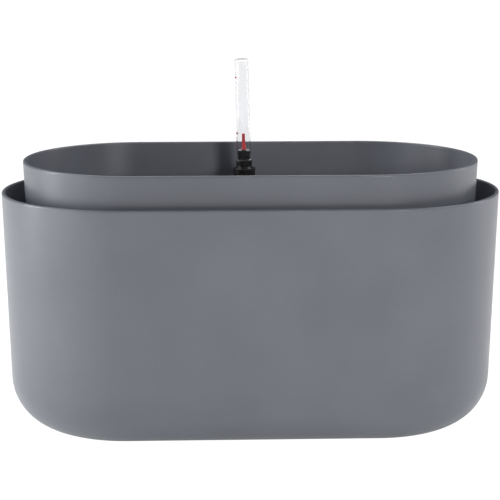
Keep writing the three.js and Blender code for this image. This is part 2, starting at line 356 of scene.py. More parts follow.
# %% Helpers for cutters
def slot_cutter(width, low, high, start, end, columns=16):
    """A slot with round ends, in mm: an upright oblong that runs along +X from start to end."""
    half = width / 2
    ends = [math.radians(180 * i / columns) for i in range(columns + 1)]
    outline = [(half * math.cos(a), high - half + half * math.sin(a)) for a in ends]
    outline += [(-half * math.cos(a), low + half - half * math.sin(a)) for a in ends]
    near = [(start * MM, y * MM, z * MM) for y, z in outline]
    far = [(end * MM, y * MM, z * MM) for y, z in outline]
    count = len(outline)
    sides = [(i, (i + 1) % count, count + (i + 1) % count, count + i) for i in range(count)]
    faces = [tuple(range(count - 1, -1, -1)), tuple(range(count, 2 * count)), *sides]
    return face_out(new_piece("cutter", near + far, faces=faces))


def hole_cutter(radius, low, high, flare, material):
    """A round hole's cutter, in mm. It flares at both faces, so that the hole's edges come out softened."""
    outline = [(0, low - 1), (radius + flare + 1, low - 1), (radius, low + flare), (radius, high - flare),
               (radius + flare + 1, high + 1), (0, high + 1)]
    return turn("cutter", outline, material, half_columns=17)


def shift(piece, x=0.0, y=0.0, z=0.0):
    piece.data.transform(Matrix.Translation(Vector((x, y, z)) * MM))
    return piece


SHARP_ANGLE = math.radians(32)


def combine(piece, operation, *others):
    """Cuts the others out of a piece, or joins them to it, and keeps only real corners sharp."""
    for other in others:
        modifier = piece.modifiers.new(operation, "BOOLEAN")
        modifier.operation = operation
        modifier.solver = "EXACT"
        modifier.object = other
        settle(piece)
        bpy.data.objects.remove(other)
    piece.data.shade_smooth()
    piece.data.set_sharp_from_angle(angle=SHARP_ANGLE)
    return piece


def cut_away(piece, *cutters):
    return combine(piece, "DIFFERENCE", *cutters)


# %% [markdown]
# ## Finish: moulded plastic
#
# The pots are thick moulded polypropylene with a fine spark-eroded grain: matt from the front, but with a
# clear sheen where light grazes the walls. A flat grey would look like paint. Here noises on Object
# coordinates do the work: a wide one drifts the colour, fine ones speckle and roughen the surface, and a
# stretched one leaves very faint upright drag marks, such as a deep pot gets as it leaves its mould. Object
# coordinates keep the pattern on the piece. The growing pot's plastic is made a tenth darker than the outer
# pot's, as painted shade: the real ones may well be alike, and it makes up for too much light on that pot's
# outside.


# %% Helpers for finishes
def new_material(name, colour, roughness):
    """A Principled material. Returns it with its tree, its shader and its Object coordinates."""
    material = bpy.data.materials.new(name)
    material.use_nodes = True
    tree = material.node_tree
    shader = next(n for n in tree.nodes if n.type == "BSDF_PRINCIPLED")
    shader.inputs["Base Color"].default_value = (*colour, 1.0)
    shader.inputs["Roughness"].default_value = roughness
    spot = tree.nodes.new("ShaderNodeTexCoord").outputs["Object"]
    return material, tree, shader, spot


def noise(tree, spot, scale, detail=2.0, stretch=(1.0, 1.0, 1.0)):
    """Noise on a piece's own coordinates. `scale` is in cells per metre."""
    mapped = add_node(tree, "ShaderNodeMapping", {"Vector": spot, "Scale": stretch})
    cells = add_node(
        tree, "ShaderNodeTexNoise", {"Vector": mapped.outputs[0], "Scale": scale, "Detail": detail}
    )
    return cells.outputs["Fac"]


def spread(tree, value, low, high, out_low, out_high):
    """Maps a value's range low..high onto out_low..out_high."""
    values = {"Value": value, "From Min": low, "From Max": high, "To Min": out_low, "To Max": out_high}
    return add_node(tree, "ShaderNodeMapRange", values).outputs["Result"]


def blend_colours(tree, share, first, second, mode="MIX"):
    """Mixes two colours, each a value or a socket, by a share."""
    node = add_node(tree, "ShaderNodeMix", {0: share}, data_type="RGBA", blend_type=mode)
    for socket, colour in ((node.inputs[6], first), (node.inputs[7], second)):
        if isinstance(colour, bpy.types.NodeSocket):
            tree.links.new(colour, socket)
        else:
            socket.default_value = (*colour, 1.0)
    return node.outputs[2]


def bump(tree, height, distance, strength, below=None):
    values = {"Height": height, "Distance": distance, "Strength": strength}
    if below is not None:
        values["Normal"] = below
    return add_node(tree, "ShaderNodeBump", values).outputs["Normal"]


def shade(colour, factor):
    return tuple(min(1.0, channel * factor) for channel in colour)


ROUGHNESS_DRIFT = 0.02


def moulded_plastic(name, colour, roughness, grain=2600.0, grain_depth=0.05, drift=0.05, drag=0.0):
    """Moulded plastic: a drift in its colour, a fine grain, and faint upright drag marks from the mould."""
    material, tree, shader, spot = new_material(name, colour, roughness)
    wide = noise(tree, spot, 14.0, 3.0)
    drifted = blend_colours(
        tree, spread(tree, wide, 0.35, 0.65, 0.0, 1.0), shade(colour, 1 - drift), shade(colour, 1 + drift)
    )
    speck = spread(tree, noise(tree, spot, grain * 0.6, 1.0), 0.3, 0.7, 0.965, 1.035)
    speckled = blend_colours(tree, 1.0, drifted, (1.0, 1.0, 1.0), "MULTIPLY")
    tree.links.new(speck, speckled.node.inputs[7])
    tree.links.new(speckled, shader.inputs["Base Color"])

    streak = noise(tree, spot, 190.0, 2.0, stretch=(1.0, 1.0, 0.035))
    uneven = noise(tree, spot, 55.0, 3.0)
    dull = spread(tree, uneven, 0.3, 0.7, roughness - ROUGHNESS_DRIFT, roughness + ROUGHNESS_DRIFT)
    patch = math_node(tree, "MULTIPLY_ADD", spread(tree, streak, 0.35, 0.75, -1.0, 1.0), drag, dull)
    tree.links.new(patch, shader.inputs["Roughness"])

    wave = bump(tree, noise(tree, spot, 38.0, 1.0), 0.3 * MM, 0.05)
    fine = bump(tree, noise(tree, spot, grain, 2.0), grain_depth * MM, 0.5, wave)
    tree.links.new(fine, shader.inputs["Normal"])
    return material


# %% Finish the plastics
SLATE = (0.183, 0.194, 0.223)
# The growing pot's colour is darkened by this factor as painted shade, to make up for too much light on its
# outside.
LINER_PAINTED_SHADE = 0.9
slate_plastic = moulded_plastic("slate plastic", SLATE, 0.30, drag=0.006)
liner_plastic = moulded_plastic("growing pot plastic with painted shade", shade(SLATE, LINER_PAINTED_SHADE), 0.32, drag=0.006)
well_plastic = moulded_plastic("well plastic", (0.105, 0.11, 0.128), 0.5, grain=1800.0)
black_plastic = moulded_plastic(
    "black plastic", (0.012, 0.011, 0.012), 0.24, grain=1500.0, grain_depth=0.02
)
red_plastic = moulded_plastic("red plastic", (0.45, 0.012, 0.02), 0.32, grain=3000.0, grain_depth=0.01)
rod_plastic = moulded_plastic("rod plastic", (0.70, 0.70, 0.67), 0.38, grain=3000.0, grain_depth=0.01)
print("plastics:", [m.name for m in bpy.data.materials if "plastic" in m.name])

# %% [markdown]
# ## Finish: clear plastic, rubber, foam and the printed marks
#
# The sight tube is clear plastic with a real wall. Its index of refraction is set to 1.1, lower than a real
# plastic's 1.49. A coat keeps its gloss, and a slight tint makes the tube a little darker than the table
# behind it. The rubber and the foam are rough, and the foam shows its closed cells as a Voronoi bump.


# %% Finish the other materials
def clear_plastic():
    material, tree, shader, spot = new_material("clear plastic", (0.91, 0.913, 0.925), 0.03)
    shader.inputs["Transmission Weight"].default_value = 1.0
    shader.inputs["IOR"].default_value = 1.1
    shader.inputs["Coat Weight"].default_value = 0.6
    shader.inputs["Coat Roughness"].default_value = 0.04
    haze = spread(tree, noise(tree, spot, 240.0, 3.0), 0.35, 0.75, 0.015, 0.07)
    tree.links.new(haze, shader.inputs["Roughness"])
    ripple = noise(tree, spot, 90.0, 1.0, stretch=(1.0, 1.0, 0.2))
    tree.links.new(bump(tree, ripple, 0.1 * MM, 0.08), shader.inputs["Normal"])
    return material


def rubber():
    material, tree, shader, spot = new_material("black rubber", (0.018, 0.018, 0.019), 0.72)
    dust = spread(tree, noise(tree, spot, 420.0, 4.0), 0.55, 0.8, 0.0, 0.25)
    dusty = blend_colours(tree, dust, (0.018, 0.018, 0.019), (0.07, 0.068, 0.065))
    tree.links.new(dusty, shader.inputs["Base Color"])
    tree.links.new(bump(tree, noise(tree, spot, 1600.0, 3.0), 0.05 * MM, 0.5), shader.inputs["Normal"])
    return material


def foam():
    material, tree, shader, spot = new_material("closed-cell foam", (0.80, 0.77, 0.70), 0.9)
    cells = add_node(tree, "ShaderNodeTexVoronoi", {"Vector": spot, "Scale": 1400.0}).outputs["Distance"]
    depth = spread(tree, cells, 0.0, 0.7, 0.0, 1.0)
    tint = blend_colours(tree, depth, (0.80, 0.77, 0.70), (0.68, 0.65, 0.58))
    tree.links.new(tint, shader.inputs["Base Color"])
    tree.links.new(bump(tree, cells, 0.2 * MM, 0.6), shader.inputs["Normal"])
    return material


def mark_print():
    material, tree, shader, spot = new_material("printed red", (0.36, 0.02, 0.04), 0.5)
    wear = spread(tree, noise(tree, spot, 1300.0, 3.0), 0.35, 0.7, 0.0, 1.0)
    worn = blend_colours(tree, wear, (0.36, 0.02, 0.04), (0.24, 0.02, 0.04))
    tree.links.new(worn, shader.inputs["Base Color"])
    return material


clear = clear_plastic()
black_rubber = rubber()
float_foam = foam()
printed_red = mark_print()
print("materials made:", len(bpy.data.materials))

# %% [markdown]
# ## The outline of a pot
#
# Both pots share one rule. The wall leans outwards by a few degrees of draft so that it leaves its mould,
# ends above in a fully round rim, and turns below into the floor through a large fillet. The inside fillet
# has the same centre as the outside one, so the wall keeps its thickness. The rim's place comes from the
# frame.


# %% Helpers for the pots
FILLET_STEPS = 28
RIM_STEPS = 14


def pot_wall(rim_radius, top, base, draft, fillet, wall):
    """Outline points from the floor's outer edge over the rim and back to the floor, in mm."""
    lean = math.radians(draft)
    rim = (rim_radius - wall / 2, top - wall / 2)
    centre_z = base + fillet
    centre_r = rim[0] - math.tan(lean) * (rim[1] - centre_z) - (fillet - wall / 2) / math.cos(lean)
    centre = (centre_r, centre_z)
    outside = arc_points(centre, fillet, -90, -draft, FILLET_STEPS)
    over = arc_points(rim, wall / 2, -draft, 180 - draft, RIM_STEPS)
    inside = arc_points(centre, fillet - wall, -draft, -90, FILLET_STEPS)
    return outside + over + inside


def pot_sizes(node):
    """A pot's rim radius, half of its straight stretch, its top and its base, in mm, from the frame."""
    low, high = (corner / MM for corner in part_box(node))
    return high.y, high.x - high.y, high.z, low.z


# %% [markdown]
# ## The outer pot
#
# It holds the water. Its floor is raised in the middle, so it stands on a ring and does not rock. That
# ring, the drain hole for the plug and the marks that ejector pins leave under the floor are small, but
# they are what the underside of a real pot shows.

# %% Outer pot
OUTER = {"draft": 1.7, "fillet": 42.0, "wall": 3.0}
FOOT = {"outer": 47.5, "inner": 44.5, "rise": 1.5}
POT_HALF_COLUMNS = 73
DRAIN_RADIUS = 8.3
HOLE_FLARE = 0.3
POT_MARGIN = 0.4

rim_radius, outer_half, outer_top, outer_base = pot_sizes("outer_pot")
outer_wall = pot_wall(rim_radius, outer_top, outer_base, **OUTER)
floor_inside = OUTER["wall"] + FOOT["rise"]
under = soft_outline([
    (0, FOOT["rise"], 0), (FOOT["inner"], FOOT["rise"], 1.2), (FOOT["outer"], 0, 1.2), (*outer_wall[0], 0),
])
above = soft_outline([
    (*outer_wall[-1], 0), (FOOT["outer"], OUTER["wall"], 1.2), (FOOT["inner"], floor_inside, 1.2),
    (0, floor_inside, 0),
])
outline = held(under[:-1] + outer_wall + above[1:], POT_MARGIN)
pot_shell = turn("pot_shell", outline, slate_plastic, outer_half, POT_HALF_COLUMNS)
drain = hole_cutter(DRAIN_RADIUS, FOOT["rise"], floor_inside, HOLE_FLARE, slate_plastic)
cut_away(pot_shell, drain)

# %% Ejector-pin marks under the floor
PIN_MARKS = {"Size X": 200 * MM, "Size Y": 50 * MM, "Count X": 5, "Count Y": 2}
PIN_RADIUS = 4.0
PIN_DEPTH = 0.2
PIN_SLOPE = 0.3

pin_disc = turn("pin_marks", [
    (0, FOOT["rise"] - PIN_DEPTH), (PIN_RADIUS - PIN_SLOPE, FOOT["rise"] - PIN_DEPTH),
    (PIN_RADIUS, FOOT["rise"] + PIN_DEPTH), (0, FOOT["rise"] + PIN_DEPTH),
], slate_plastic, half_columns=17)
combine(pot_shell, "UNION", grow(pin_disc, GRID, {**PIN_MARKS, "Material": slate_plastic}))
plastic_ml = round(volume_of(pot_shell.data) * 1e6)
print("outer pot:", len(pot_shell.data.polygons), "faces, plastic in ml:", plastic_ml)

# %% [markdown]
# ## The growing pot
#
# The same rule with a thinner wall and a tighter fillet. Its floor has a hole for each wick well and for the
# gauge's bush, a grid of drain holes between the wells and a pair at each end.

# %% Growing pot
LINER = {"draft": 2.4, "fillet": 22.0, "wall": 2.8}
WELL_HOLE = 32.3
BUSH_HOLE = 12.3
DRAIN_GRID = {"Size X": 72 * MM, "Size Y": 60 * MM, "Count X": 4, "Count Y": 3}
END_DRAINS = {"Size X": 282 * MM, "Size Y": 40 * MM, "Count X": 2, "Count Y": 2}
DRAIN_HOLE = 3.0
DRAIN_GRID_Y = -15.0

liner_radius, liner_half, liner_top, liner_base = pot_sizes("liner")
liner_floor = liner_base + LINER["wall"]
liner_wall = pot_wall(liner_radius, liner_top, liner_base, **LINER)
outline = held([(0, liner_base), *liner_wall, (0, liner_floor)], POT_MARGIN)
liner_shell = turn("growing_pot_shell", outline, liner_plastic, liner_half, POT_HALF_COLUMNS)
well_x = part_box("wick_well_right")[0].lerp(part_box("wick_well_right")[1], 0.5).x / MM
gauge_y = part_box("gauge_socket")[0].lerp(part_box("gauge_socket")[1], 0.5).y / MM


def floor_hole(radius):
    return hole_cutter(radius, liner_base, liner_floor, HOLE_FLARE, liner_plastic)


cutters = [shift(floor_hole(WELL_HOLE), side * well_x) for side in (-1, 1)]
cutters.append(shift(floor_hole(BUSH_HOLE), y=gauge_y))
drain_grid = grow(floor_hole(DRAIN_HOLE), GRID, {**DRAIN_GRID, "Material": liner_plastic})
cutters.append(shift(drain_grid, y=DRAIN_GRID_Y))
cutters.append(grow(floor_hole(DRAIN_HOLE), GRID, {**END_DRAINS, "Material": liner_plastic}))
cut_away(liner_shell, *cutters)
print("growing pot:", len(liner_shell.data.polygons), "faces")

# %% [markdown]
# ## The wick wells
#
# A wick well is a slotted cup that clips up through the floor. Soil packed into it stands in the water and
# draws it up to the roots. The cup is turned, and its slots and bottom holes are rings of cutters.

# %% Wick wells
WELL = {"bottom": 24.0, "side": 27.0, "chamfer": 3.0, "shoulder": 31.0, "neck": 32.0, "flange": 36.0}
WELL_FLANGE_THICK = 2.0
WELL_WALL = 1.9
WELL_BEAD = {"radius": 33.4, "height": 1.7}
WELL_FLARE = 0.2
WELL_SLOTS = {"count": 10, "width": 2.6, "low": 12.0, "high": 47.0, "start": 15.0}
WELL_HOLES = {"count": 5, "circle": 13.0, "radius": 2.5}
CLEARANCE = 0.3


def wick_well(name, node, x):
    low, high = (corner.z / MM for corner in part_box(node))
    flange_high = liner_base - CLEARANCE
    flange_low = flange_high - WELL_FLANGE_THICK
    bead_low = high - WELL_BEAD["height"]
    inner_neck = WELL["neck"] - WELL_WALL
    outline = held(soft_outline([
        (0, low, 0), (WELL["bottom"], low, 0.8), (WELL["side"], low + WELL["chamfer"], 0.8),
        (WELL["shoulder"], flange_low, 0.4), (WELL["flange"], flange_low, 0.4),
        (WELL["flange"], flange_high, 0.4), (WELL["neck"], flange_high, 0.2),
        (WELL["neck"], bead_low, 0.2), (WELL_BEAD["radius"], bead_low, 0.3), (WELL["neck"], high, 0.3),
        (inner_neck, high, 0.4), (inner_neck, flange_high, 0.3),
        (WELL["shoulder"] - WELL_WALL, flange_low, 0.4),
        (WELL["side"] - WELL_WALL, low + WELL["chamfer"] + WELL_WALL, 0.8),
        (WELL["bottom"] - WELL_WALL, low + WELL_WALL, 0.8), (0, low + WELL_WALL, 0),
    ]))
    cup = turn(name, outline, well_plastic, half_columns=49)
    slot = slot_cutter(
        WELL_SLOTS["width"], WELL_SLOTS["low"], WELL_SLOTS["high"], WELL_SLOTS["start"], WELL["flange"]
    )
    slots = grow(slot, RING, {"Count": WELL_SLOTS["count"], "Start": 0.5, "Material": well_plastic})
    hole = hole_cutter(WELL_HOLES["radius"], low, low + WELL_WALL, WELL_FLARE, well_plastic)
    holes = grow(shift(hole, WELL_HOLES["circle"]), RING, {
        "Count": WELL_HOLES["count"], "Start": 0.0, "Material": well_plastic,
    })
    return shift(cut_away(cup, slots, holes), x)


well_left = wick_well("well_left", "wick_well_left", -well_x)
well_right = wick_well("well_right", "wick_well_right", well_x)
print("wick wells:", len(well_left.data.polygons), "faces each")

# %% [markdown]
# ## The bush, the drain plug and its seal
#
# These are soft rubber mouldings. The bush guides the gauge through the floor. The plug has a waist under a
# small knob, so that wet fingers can pull it, and a ring of grip ribs round the knob, copied by Geometry
# Nodes.

# %% Bush, plug and seal
SOCKET = {"bore": 10.2, "sleeve": 12.0, "flange": 14.0, "flange_thick": 1.9}
PLUG = {"stem": 8.0, "flange": 13.0, "flange_thick": 2.2, "waist": 4.2, "knob": 5.0, "knob_height": 4.0}
KNOB_RIBS = 12
RIB_DEPTH = 0.35
SEAL_HALF_WIDTH = 2.0
SEAL_STEPS = 24


def socket_bush():
    low, high = (corner.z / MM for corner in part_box("gauge_socket"))
    flange_low = liner_floor + CLEARANCE
    flange_high = flange_low + SOCKET["flange_thick"]
    outline = held(soft_outline([
        (SOCKET["bore"], low, 0.5), (SOCKET["sleeve"], low, 0.5), (SOCKET["sleeve"], flange_low, 0.2),
        (SOCKET["flange"], flange_low, 0.3), (SOCKET["flange"], flange_high, 0.7),
        (SOCKET["sleeve"], flange_high, 0.6), (SOCKET["sleeve"], high, 0.6), (SOCKET["bore"], high, 0.6),
    ], closed=True))
    return shift(turn("socket_bush", outline, black_rubber), y=gauge_y)


def drain_plug():
    low, high = (corner.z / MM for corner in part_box("drain_plug"))
    flange_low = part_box("plug_seal")[1].z / MM + CLEARANCE
    flange_high = flange_low + PLUG["flange_thick"]
    knob_low = high - PLUG["knob_height"]
    outline = held(soft_outline([
        (0, low, 0), (PLUG["stem"], low, 0.9), (PLUG["stem"], flange_low, 0.3),
        (PLUG["flange"], flange_low, 0.4), (PLUG["flange"], flange_high, 0.9),
        (PLUG["waist"] + 1.4, flange_high, 0.6), (PLUG["waist"] - 0.6, flange_high + 1.6, 0.6),
        (PLUG["waist"] - 0.4, knob_low, 0.5), (PLUG["knob"] - RIB_DEPTH, knob_low + 0.9, 0.5),
        (PLUG["knob"] - RIB_DEPTH, high, 1.2), (0, high, 0),
    ]))
    body = turn("plug_body", outline, black_rubber)
    rib = turn("ribs", [(0, 0), (RIB_DEPTH, 0.1), (RIB_DEPTH, 2.2), (0, 2.3)], black_rubber, half_columns=5)
    shift(rib, PLUG["knob"] - RIB_DEPTH, z=knob_low + 0.9)
    ribs = grow(rib, RING, {"Count": KNOB_RIBS, "Start": 0.0, "Material": black_rubber})
    return combine(body, "UNION", ribs)


def seal_ring():
    low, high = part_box("plug_seal")
    outer, thick = high.x / MM, (high.z - low.z) / MM
    middle = (outer - SEAL_HALF_WIDTH, (low.z + high.z) / 2 / MM)
    angles = [math.radians(360 * i / SEAL_STEPS) for i in range(SEAL_STEPS + 1)]
    outline = [
        (middle[0] + SEAL_HALF_WIDTH * math.cos(a), middle[1] + thick / 2 * math.sin(a)) for a in angles
    ]
    return turn("seal_ring", outline, black_rubber)


bush = socket_bush()
plug = drain_plug()
seal = seal_ring()

# %% [markdown]
# ## The float gauge
#
# The gauge leans a little in its loose bush, so its pieces are made upright round their own axis and then
# tipped into place together. The tilt is read from the joint that draws the gauge out, so it cannot
# disagree with the frame. Heights here run along that axis, from the growing pot's floor.

# %% The gauge's own axis
gauge_joint = next(joint for joint in frame["joints"] if joint["name"] == "gauge_lift")
gauge_axis = Vector(gauge_joint["axis"]).normalized()
gauge_place = Matrix.Translation(Vector((0, gauge_y, liner_floor)) * MM)
gauge_place @= Vector((0, 0, 1)).rotation_difference(gauge_axis).to_matrix().to_4x4()
print("the gauge leans by", round(math.degrees(gauge_axis.angle(Vector((0, 0, 1)))), 2), "degrees")


def set_in_gauge(*pieces):
    for piece in pieces:
        piece.data.transform(gauge_place)


# %% Housing and its strainer
HOUSING = {"outer": 9.1, "bore": 7.8, "low": -47.0, "high": 138.6}
HOUSING_RING = {"radius": 11.5, "low": 10.7, "high": 13.2}
HOUSING_SLOTS = {"count": 4, "width": 2.6, "low": -42.0, "high": -27.0, "start": 4.0, "end": 13.0}
STRAINER = {"low": -50.0, "plug": 7.5, "plug_high": -43.5, "hole": 3.2, "wall": 1.4}
GRIP_RINGS = {"count": 3, "pitch": 3.0, "depth": 0.35, "width": 1.0, "first": 135.4}


def gauge_housing():
    """A tube with a ring that stops it on the bush, and grip grooves just under its collar."""
    outer, bore = HOUSING["outer"], HOUSING["bore"]
    corners = [
        (bore, HOUSING["low"], 0.2), (outer, HOUSING["low"], 0.2), (outer, HOUSING_RING["low"], 0.2),
        (HOUSING_RING["radius"], HOUSING_RING["low"], 0.4),
        (HOUSING_RING["radius"], HOUSING_RING["high"], 0.4),
        (outer, HOUSING_RING["high"], 0.3),
    ]
    for i in reversed(range(GRIP_RINGS["count"])):
        middle = GRIP_RINGS["first"] - i * GRIP_RINGS["pitch"]
        half = GRIP_RINGS["width"] / 2
        corners += [(outer, middle - half, 0.15), (outer - GRIP_RINGS["depth"], middle, 0.15),
                    (outer, middle + half, 0.15)]
    corners += [(outer, HOUSING["high"], 0.2), (bore, HOUSING["high"], 0.2)]
    tube = turn("housing_tube", held(soft_outline(corners, closed=True)), black_plastic)
    sizes = [HOUSING_SLOTS[key] for key in ("width", "low", "high", "start", "end")]
    slot = slot_cutter(*sizes)
    slots = grow(slot, RING, {"Count": HOUSING_SLOTS["count"], "Start": 0.5, "Material": black_plastic})
    return cut_away(tube, slots)


def foot_strainer():
    low, plug_radius, wall = STRAINER["low"], STRAINER["plug"], STRAINER["wall"]
    shoulder = HOUSING["low"] - CLEARANCE
    outline = held(soft_outline([
        (STRAINER["hole"], low, 0.3), (HOUSING["outer"], low, 0.8), (HOUSING["outer"], shoulder, 0.2),
        (plug_radius, shoulder, 0.2), (plug_radius, STRAINER["plug_high"], 0.3),
        (plug_radius - wall, STRAINER["plug_high"], 0.3), (plug_radius - wall, low + wall, 0.3),
        (STRAINER["hole"], low + wall, 0.3),
    ], closed=True))
    return turn("foot_strainer", outline, black_plastic)


housing = gauge_housing()
strainer = foot_strainer()
print("housing:", len(housing.data.polygons), "faces")

# %% Collar and spigot
COLLAR = {"flange": 9.3, "flange_low": 138.9, "flange_high": 142.0, "ring": 6.6, "ring_high": 148.1}
SPIGOT = {"radius": 5.1, "high": 156.5, "bore": 1.7, "plug": 7.5, "plug_low": 131.0}


def collar():
    """The stepped top: a plug, a grooved flange with a soft shoulder, a ring, and the sight tube's spigot."""
    flange, flange_high, ring = COLLAR["flange"], COLLAR["flange_high"], COLLAR["ring"]
    outline = held(soft_outline([
        (SPIGOT["bore"], SPIGOT["plug_low"], 0.2), (SPIGOT["plug"], SPIGOT["plug_low"], 0.4),
        (SPIGOT["plug"], COLLAR["flange_low"], 0.15), (flange, COLLAR["flange_low"], 0.25),
        (flange, flange_high - 2.2, 0.1), (flange - 0.35, flange_high - 1.95, 0.1),
        (flange, flange_high - 1.7, 0.1), (flange, flange_high - 0.75, 0.35),
        (flange - 0.9, flange_high - 0.1, 0.35), (ring + 0.9, flange_high, 0.25),
        (ring, flange_high + 0.9, 0.4), (ring, COLLAR["ring_high"], 0.3),
        (SPIGOT["radius"], COLLAR["ring_high"], 0.15), (SPIGOT["radius"], SPIGOT["high"], 0.5),
        (SPIGOT["bore"], SPIGOT["high"], 0.3),
    ], closed=True))
    return turn("collar_cap", outline, black_plastic)


collar_cap = collar()
print("collar:", len(collar_cap.data.polygons), "faces")

# %% [markdown]
# ## The clear tube and its marks
#
# The tube tapers slightly towards its closed top, as mouldings do. The marks are printed on one side: a bar
# at the highest level, a bar at the lowest, and a group of short generic ticks under it. Each bar is drawn
# flat, with its width as an angle, then a tree repeats it along the tube and wraps it round the taper.

# %% Sight tube
SIGHT = {
    "low": 148.4, "high": 232.0, "outer_low": 6.15, "outer_high": 5.65, "bore_low": 5.4, "bore_high": 4.95,
}
SIGHT_ROOF = 1.3
outline = held(soft_outline([
    (SIGHT["bore_low"], SIGHT["low"], 0.15), (SIGHT["outer_low"], SIGHT["low"], 0.25),
    (SIGHT["outer_high"], SIGHT["high"], 1.1), (0, SIGHT["high"], 0),
], steps=6) + soft_outline([
    (0, SIGHT["high"] - SIGHT_ROOF, 0), (SIGHT["bore_high"], SIGHT["high"] - SIGHT_ROOF, 0.6),
    (SIGHT["bore_low"], SIGHT["low"] + 0.3, 0), (SIGHT["bore_low"], SIGHT["low"] + 0.15, 0),
    (SIGHT["bore_low"], SIGHT["low"], 0),
], steps=6))
outline[-1] = outline[0]
sight = turn("clear_sight_tube", outline, clear, half_columns=49)
print("sight tube:", len(sight.data.polygons), "faces")

# %% Tree: marks wrapped round a tapered tube
MARK_THICK = 0.06


def marks_tree():
    inputs = {"Count": "int", "Step": "float", "Facing": "float", "Low": "float", "Radius": "float",
              "Taper": "float", "Material": "material"}
    tree, given = new_geometry_tree("marks round a tube", inputs)
    step = add_node(tree, "ShaderNodeCombineXYZ", {"Z": given["Step"]})
    line = add_node(tree, "GeometryNodeMeshLine", {"Count": given["Count"], "Offset": step.outputs[0]})
    copies = add_node(
        tree, "GeometryNodeInstanceOnPoints", {"Points": line.outputs[0], "Instance": given["Geometry"]}
    )
    real = add_node(tree, "GeometryNodeRealizeInstances", {"Geometry": copies.outputs[0]})
    position = tree.nodes.new("GeometryNodeInputPosition").outputs[0]
    flat = add_node(tree, "ShaderNodeSeparateXYZ", {0: position}).outputs
    angle = math_node(tree, "ADD", flat["X"], given["Facing"])
    rise = math_node(tree, "SUBTRACT", flat["Z"], given["Low"])
    surface = math_node(tree, "MULTIPLY_ADD", rise, given["Taper"], given["Radius"])
    radius = math_node(tree, "ADD", surface, flat["Y"])
    place = add_node(tree, "ShaderNodeCombineXYZ", {
        "X": math_node(tree, "MULTIPLY", radius, math_node(tree, "COSINE", angle)),
        "Y": math_node(tree, "MULTIPLY", radius, math_node(tree, "SINE", angle)),
        "Z": flat["Z"],
    })
    wrapped = add_node(
        tree, "GeometryNodeSetPosition", {"Geometry": real.outputs[0], "Position": place.outputs[0]}
    )
    close_geometry_tree(tree, wrapped.outputs[0], given["Material"])
    return tree


MARKS = marks_tree()


def flat_mark(name, width_degrees, low, height, steps=10):
    """One bar, unrolled: its width is an angle in radians along X, its thickness is along Y."""
    half = math.radians(width_degrees) / 2
    angles = [half * (2 * i / steps - 1) for i in range(steps + 1)]
    points = [(a, y * MM, z * MM) for z in (low, low + height) for y in (0.01, MARK_THICK) for a in angles]
    row = steps + 1
    faces = []
    for i in range(steps):
        rings = [i, i + row, i + 3 * row, i + 2 * row]
        faces += [(rings[k], rings[(k + 1) % 4], rings[(k + 1) % 4] + 1, rings[k] + 1) for k in range(4)]
    faces += [(0, 2 * row, 3 * row, row), (steps, steps + row, steps + 3 * row, steps + 2 * row)]
    return new_piece(name, points, faces=faces)


# %% Level marks
LEVEL_BARS = {"count": 2, "low": 170.2, "step": 46.2, "height": 1.3, "width": 60.0}
LEVEL_TICKS = {"count": 4, "low": 158.9, "step": 2.6, "height": 0.6, "width": 36.0}
MARK_FACING = math.radians(193.0)


def level_marks(name, marks):
    """One group of marks, wrapped onto the sight tube."""
    taper = (SIGHT["outer_high"] - SIGHT["outer_low"]) / (SIGHT["high"] - SIGHT["low"])
    return face_out(grow(flat_mark(name, marks["width"], marks["low"], marks["height"]), MARKS, {
        "Count": marks["count"], "Step": marks["step"] * MM, "Facing": MARK_FACING,
        "Low": SIGHT["low"] * MM, "Radius": SIGHT["outer_low"] * MM, "Taper": taper, "Material": printed_red,
    }))


bars = level_marks("level_bars", LEVEL_BARS)
ticks = level_marks("level_ticks", LEVEL_TICKS)
print("marks:", LEVEL_BARS["count"] + LEVEL_TICKS["count"])

# %% [markdown]
# ## Pointer, rod, clip and float
#
# These four rise and fall together. Only the red pointer is seen at rest, through the clear tube. The rest is
# hidden in the housing until the gauge is drawn out, but it is made with the same care.

# %% Pointer, rod, clip and float
ROD = {"radius": 1.2, "low": -42.2, "high": 168.0}
POINTER = {"low": 156.8, "high": 170.2, "flange": 2.1, "flange_thick": 1.0, "foot": 1.65, "tip": 1.15}
POINTER_SOCKET = 0.85
FLOAT = {"radius": 6.9, "low": -41.0, "high": -11.0, "hole": 1.5}
CLIP = {"radius": 3.4, "thick": 1.2}

rod = turn("rod", held(soft_outline([
    (0, ROD["low"], 0), (ROD["radius"], ROD["low"], 0.3), (ROD["radius"], POINTER["low"] - 2, 0.2),
    (POINTER_SOCKET - CLEARANCE, POINTER["low"] - 1, 0.1), (POINTER_SOCKET - CLEARANCE, ROD["high"], 0.2),
    (0, ROD["high"], 0),
])), rod_plastic, half_columns=17)
pointer_socket = [
    (0, ROD["high"] + CLEARANCE), (POINTER_SOCKET, ROD["high"] + CLEARANCE), (POINTER_SOCKET, POINTER["low"]),
]
pointer = turn("red_pointer", held(soft_outline([
    (POINTER_SOCKET, POINTER["low"], 0), (POINTER["flange"], POINTER["low"], 0.15),
    (POINTER["flange"], POINTER["low"] + POINTER["flange_thick"], 0.3),
    (POINTER["foot"], POINTER["low"] + POINTER["flange_thick"], 0.1),
    (POINTER["tip"], POINTER["high"], 0.35), (0, POINTER["high"], 0),
]) + pointer_socket), red_plastic, half_columns=25)
foam_float = turn("foam_float", held(soft_outline([
    (FLOAT["hole"], FLOAT["low"], 0.3), (FLOAT["radius"], FLOAT["low"], 1.5),
    (FLOAT["radius"], FLOAT["high"], 1.5), (FLOAT["hole"], FLOAT["high"], 0.3),
], closed=True)), float_foam)
clip_low = FLOAT["high"] + CLEARANCE
clip = turn("rod_clip", held(soft_outline([
    (FLOAT["hole"], clip_low, 0.15), (CLIP["radius"], clip_low, 0.3),
    (CLIP["radius"], clip_low + CLIP["thick"], 0.3), (FLOAT["hole"], clip_low + CLIP["thick"], 0.15),
], closed=True)), black_plastic, half_columns=25)
